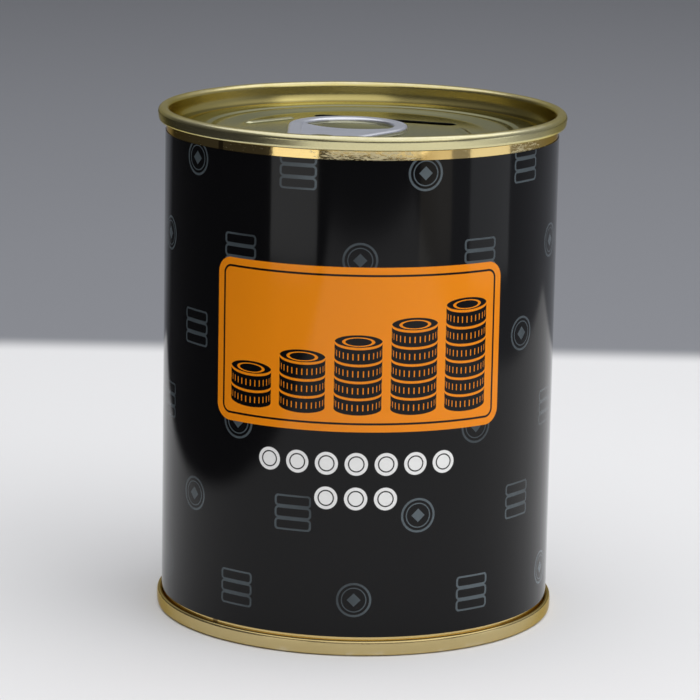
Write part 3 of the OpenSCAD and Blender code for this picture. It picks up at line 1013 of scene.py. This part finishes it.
def egg_distance(x, y):
    """Signed distance to the outline of the tab: a small circle, a large one and their tangents."""
    along, across = x - nose_c, abs(y)
    share = across * math.sin(taper) + along * math.cos(taper)
    if share < 0:
        return math.hypot(along, across) - nose_r
    if share > (ring_c - nose_c) * math.cos(taper):
        return math.hypot(x - ring_c, across) - ring_r
    return across * math.cos(taper) - along * math.sin(taper) - nose_r


def tongue_distance(x, y):
    return max(capsule(x, y, *tongue_line) - tongue_half, egg_distance(x, y) + tab_rim_w + tongue_cut)


def traced(distance, centre):
    """Closed loop of points where a distance is nought, found along rays from the centre."""
    loop = []
    for i in range(trace_rays):
        turn = 2 * math.pi * i / trace_rays
        ray = Vector((math.cos(turn), math.sin(turn)))
        near, far = 0.0, tab_l
        for _ in range(trace_halvings):
            middle = (near + far) / 2
            if distance(*(Vector(centre) + ray * middle)) < 0:
                near = middle
            else:
                far = middle
        loop.append(Vector(centre) + ray * near)
    return loop


def bright_tinplate():
    """Bright uncoated tinplate: cool white metal, rolled one way, with faint scuffs."""
    material, shader, coords = new_finish("bright_tinplate")
    along = moved(coords, Rotation=(0, 0, -lid_turn), Scale=(40.0, 2200.0, 40.0))
    lines = noise_at(along, scale=1.0, detail=3.0)
    cloud = noise_at(coords, scale=240.0, detail=3.0)
    fill(shader, {"Base Color": colour_mix(cloud, tin_dark, tin_light), "Metallic": 1.0,
                  "Roughness": ramp(lines, 0.3, 0.7, 0.28, 0.38),
                  "Normal": relief(lines, tin_grain, 0.3)})
    return material


silver = bright_tinplate()
tongue_cuts = [traced(tongue_distance, tongue_middle),
               circle_points((rivet_x, 0), rivet_hole, hole_points)]
tab_tongue = stamped("tab_tongue", [], tongue_cuts,
                     lambda x, y: tongue_distance(x, y) < 0 and math.hypot(x - rivet_x, y) > rivet_hole,
                     lambda x, y: tongue_z + tab_plate_t, tab_plate_t, silver)
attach(tab_tongue, "panel")
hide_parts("tab_tongue")

# Pull tab: a ring to pull with, pressed from bright tinplate with its edge curled under all round.
# A plate fills the nose end behind the rivet. The finger hole bows into it, and that edge is rolled.
finger_l = 12.2 * MM
roll_r = 0.45 * MM
hole_bow_r = 10.5 * MM
hole_bow_x = nose_x + tab_l - tab_rim_w - finger_l + hole_bow_r
plate_fall = 0.06
plate_fall_l = 12 * MM
plate_reach = 22 * MM
plate_spacing = 0.8 * MM
cut_spacing = 0.3 * MM
tab_middle = tab_z + tab_t / 2
rim_round = 0.48 * tab_t
roll_round = 0.98 * roll_r
rim_steps, nose_steps, bow_steps, edge_steps = 72, 36, 40, 8


def curled_rim_tree():
    """Sweeps a flat section with round edges along a path that lies level."""
    tree, given = new_tree("curled_rim", {"Path": "Geometry", "Width": "Float", "Thickness": "Float",
                                          "Edge": "Float", "Material": "Material"})
    path = put("GeometryNodeMeshToCurve", {"Mesh": given["Path"]})
    level = put("GeometryNodeSetCurveNormal", {"Curve": path.outputs[0]}, mode="Z_UP")
    section = put("GeometryNodeCurvePrimitiveQuadrilateral",
                  {"Width": given["Width"], "Height": given["Thickness"]}, mode="RECTANGLE")
    soft = put("GeometryNodeFilletCurve",
               {"Curve": section.outputs[0], "Radius": given["Edge"], "Count": edge_steps}, mode="POLY")
    swept = put("GeometryNodeCurveToMesh",
                {"Curve": level.outputs[0], "Profile Curve": soft.outputs[0], "Fill Caps": True})
    end_tree(swept.outputs[0], given["Material"])
    return tree


def rolled(name, path, height, closed, width, thickness, edge, material):
    """Curled sheet along a path in the frame of the lid."""
    points = [(x, y, height) for x, y in path]
    edges = [(i, (i + 1) % len(points)) for i in range(len(points) if closed else len(points) - 1)]
    return turned_with_lid(grown(new_piece(name, points, edges), curled_rim_tree(), width=width,
                                 thickness=thickness, edge=edge, material=material))


def curled_rim(material):
    """Rim that goes all round the tab."""
    lean = math.degrees(taper)
    inset = tab_rim_w / 2
    loop = (arc((ring_c, 0), ring_r - inset, -90 - lean, 90 + lean, rim_steps)
            + arc((nose_c, 0), nose_r - inset, 90 + lean, 270 - lean, nose_steps))
    return rolled("curled_rim", loop, tab_middle, True, tab_rim_w, tab_t, rim_round, material)


def rolled_edge(material):
    """Rolled edge of the plate along the bow of the finger hole, from rim to rim."""
    bow, rim = hole_bow_r + roll_r, ring_r - tab_rim_w / 2
    apart = hole_bow_x - ring_c
    reach = math.degrees(math.acos((apart ** 2 + bow ** 2 - rim ** 2) / (2 * apart * bow)))
    path = arc((hole_bow_x, 0), bow, 180 - reach, 180 + reach, bow_steps)
    height = plate_z + tab_plate_t - roll_r
    return rolled("rolled_edge", path, height, False, 2 * roll_r, 2 * roll_r, roll_round, material)


def plate_distance(x, y):
    return max(egg_distance(x, y) + tab_rim_w / 2, hole_bow_r + roll_r - math.hypot(x - hole_bow_x, y))


def cut_distance(x, y):
    return capsule(x, y, *tongue_line) - tongue_half - tongue_cut


def plate_height(x, y):
    """Top of the plate, which falls a little from the finger hole towards the nose."""
    back = math.hypot(x - hole_bow_x, y) - hole_bow_r - roll_r
    return plate_z + tab_plate_t - plate_fall * min(max(back, 0.0), plate_fall_l)


plate_cuts = [traced(plate_distance, (rivet_x, 0)),
              capsule_loop(tongue_line, tongue_half + tongue_cut, cut_spacing)]
plate_points = [p + Vector((rivet_x, 0)) for p in spread(plate_reach, plate_spacing)]
pull_tab = stamped("pull_tab", plate_points, plate_cuts,
                   lambda x, y: plate_distance(x, y) < 0 < cut_distance(x, y),
                   plate_height, tab_plate_t, silver)
joined(pull_tab, curled_rim(silver), rolled_edge(silver))
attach(pull_tab, "tab")
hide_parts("pull_tab")

# Studio: a plain pale table top on a grey ground, soft overhead light, and cards that show as reflections.
# The camera stands where the photograph was taken from.
table_low, table_high = (-0.14, -0.47), (0.27, 0.234)
table_edge = 0.010
table_corner = 0.02
ground_r = 4.0
ground_z = -0.05 * MM
table_tone = (0.78, 0.78, 0.79)
back_tone = (0.245, 0.252, 0.275)
front_tone = (0.035, 0.035, 0.038)
front_low, front_high = (0.06, 0.06, 0.06), (0.16, 0.16, 0.165)
back_low, back_high = (0.27, 0.28, 0.31), (0.46, 0.465, 0.48)
back_lean = (0.6, 0.8, 0.0)
rise_low, rise_high = 0.28, 0.50
can_middle = (0, 0, 0.05)
band_middle = (0, 0, 0.06)
camera_place = (-1.5223 * MM, -656.935 * MM, 186.325 * MM)
camera_pitch = math.radians(90 - 11.8177)
camera_roll = math.radians(1.1018)
camera_lens = 182.895


def table_finish():
    """Matt white table top, and plain grey beyond its edges."""
    material, shader, coords = new_finish("table_finish")
    split = axes(coords)
    centre = [(low + high) / 2 for low, high in zip(table_low, table_high)]
    half = [(high - low) / 2 for low, high in zip(table_low, table_high)]
    u, v = (minus(split[axis], middle) for axis, middle in zip("XY", centre))
    edge = ramp(block(u, v, half, table_corner), -table_edge, table_edge, interpolation_type="SMOOTHSTEP")
    behind = calc("ADD", times(split["X"], 0.8), times(split["Y"], 0.6))
    beyond = colour_mix(ramp(behind, -0.02, 0.07), front_tone, back_tone)
    fill(shader, {"Base Color": colour_mix(edge, table_tone, beyond), "Roughness": 0.7,
                  "Specular IOR Level": 0.05})
    return material


def room():
    """Even room light, paler to the back and the right, and brighter above a low wall."""
    world = bpy.data.worlds.new("room")
    world.use_nodes = True
    tree = world.node_tree
    heading = tree.nodes.new("ShaderNodeTexCoord").outputs["Generated"]
    lean = put("ShaderNodeVectorMath", {0: heading, 1: back_lean}, operation="DOT_PRODUCT")
    share = ramp(lean.outputs["Value"], -0.1, 0.6, interpolation_type="SMOOTHSTEP")
    above = ramp(axes(heading)["Z"], rise_low, rise_high, interpolation_type="SMOOTHSTEP")
    low, high = colour_mix(share, front_low, back_low), colour_mix(share, front_high, back_high)
    fill(tree.nodes["Background"], {"Color": colour_mix(above, low, high)})
    return world


def soft_light(name, place, target, size, radiance, colour=(1, 1, 1), mirrored=True):
    """Rectangular light of the given radiance that faces a target, unseen by the camera, and by metal
    where it isn't mirrored."""
    lamp = bpy.data.lights.new(name, "AREA")
    lamp.shape = "RECTANGLE"
    lamp.size, lamp.size_y = size
    lamp.energy = radiance * math.pi * size[0] * size[1]
    lamp.color = colour
    holder = bpy.data.objects.new(name, lamp)
    holder.location = place
    holder.rotation_euler = (Vector(target) - Vector(place)).to_track_quat("-Z", "Y").to_euler()
    holder.visible_camera = False
    holder.visible_glossy = mirrored
    bpy.context.scene.collection.objects.link(holder)


corners = [(x * ground_r, y * ground_r, ground_z) for x, y in ((-1, -1), (1, -1), (1, 1), (-1, 1))]
ground = new_piece("ground", corners, faces=[(0, 1, 2, 3)], material=table_finish())
soft_light("ceiling", (0.15, -0.08, 1.0), (0.15, -0.08, 0), (2.0, 1.6), 0.92)
soft_light("fill", (0.20, -0.20, 1.1), (0.20, -0.20, 0), (2.0, 1.6), 0.62, mirrored=False)
soft_light("side_fill", (0.75, -0.55, 0.80), can_middle, (1.0, 1.0), 0.88, mirrored=False)
soft_light("front_key", (0.35, -0.95, 0.72), can_middle, (1.6, 0.75), 0.63)
soft_light("front_card", (-0.226, -0.297, 0.030), band_middle, (0.18, 0.045), 1.4)
soft_light("front_right_card", (0.25, -0.28, 0.030), band_middle, (0.12, 0.045), 0.58, (1.0, 0.90, 0.72))
soft_light("right_card", (0.341, -0.079, 0.045), band_middle, (0.18, 0.075), 0.8, (0.94, 0.97, 1.0))

scene = bpy.context.scene
scene.view_settings.view_transform = "Standard"
scene.world = room()
camera = bpy.data.objects.new("camera", bpy.data.cameras.new("camera"))
camera.data.lens = camera_lens
camera.location = camera_place
aim = Matrix.Rotation(camera_pitch, 4, "X") @ Matrix.Rotation(camera_roll, 4, "Z")
camera.rotation_euler = aim.to_euler()
scene.collection.objects.link(camera)
scene.camera = camera
